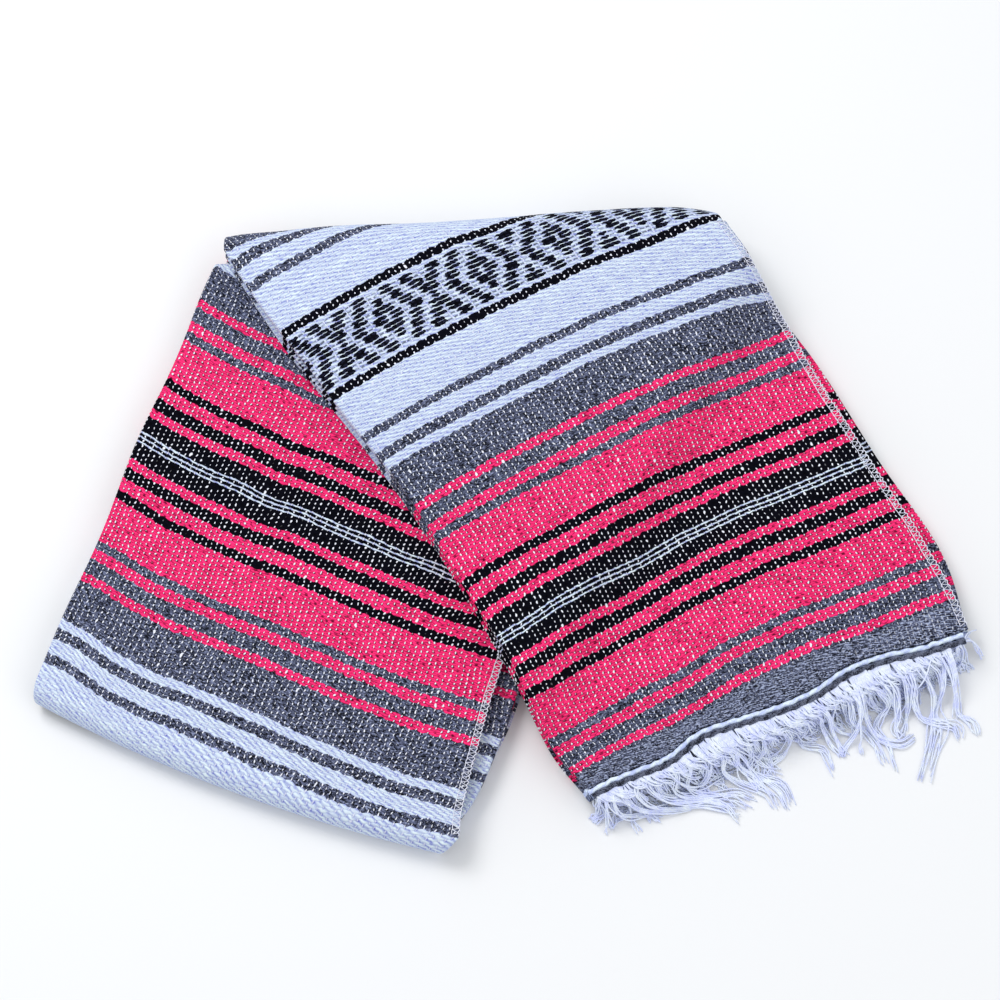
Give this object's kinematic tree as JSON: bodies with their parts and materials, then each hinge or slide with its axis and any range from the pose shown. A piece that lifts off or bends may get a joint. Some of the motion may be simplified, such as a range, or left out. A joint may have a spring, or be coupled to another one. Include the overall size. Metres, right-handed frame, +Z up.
{
  "type": "folded mexican serape blanket",
  "caption": "Striped woven serape blanket folded to a thick strip and mitred into an inverted V, with a yarn fringe at its end; lies flat as a throw, mat or prop",
  "frame": {"origin": "on the surface it rests on, below the middle of its footprint", "axes": "+X to the right along the mitre fold, +Y away from the open side of the V towards the fold, +Z up through the folded plies"},
  "size_m": [0.6979, 0.5132, 0.0498],
  "materials": {
    "woven_stripes": "soft loose plain weave, matt, striped in pink, grey, black and white",
    "fringe_yarn": "soft two-ply yarn, matt, bluish white",
    "edge_stitching": "fine overlock sewing thread"
  },
  "bodies": {
    "root": {"upper_stretch": "woven_stripes", "lower_stretch": "woven_stripes", "upper_fringe": "fringe_yarn", "lower_fringe": "fringe_yarn"}
  },
  "joints": []
}
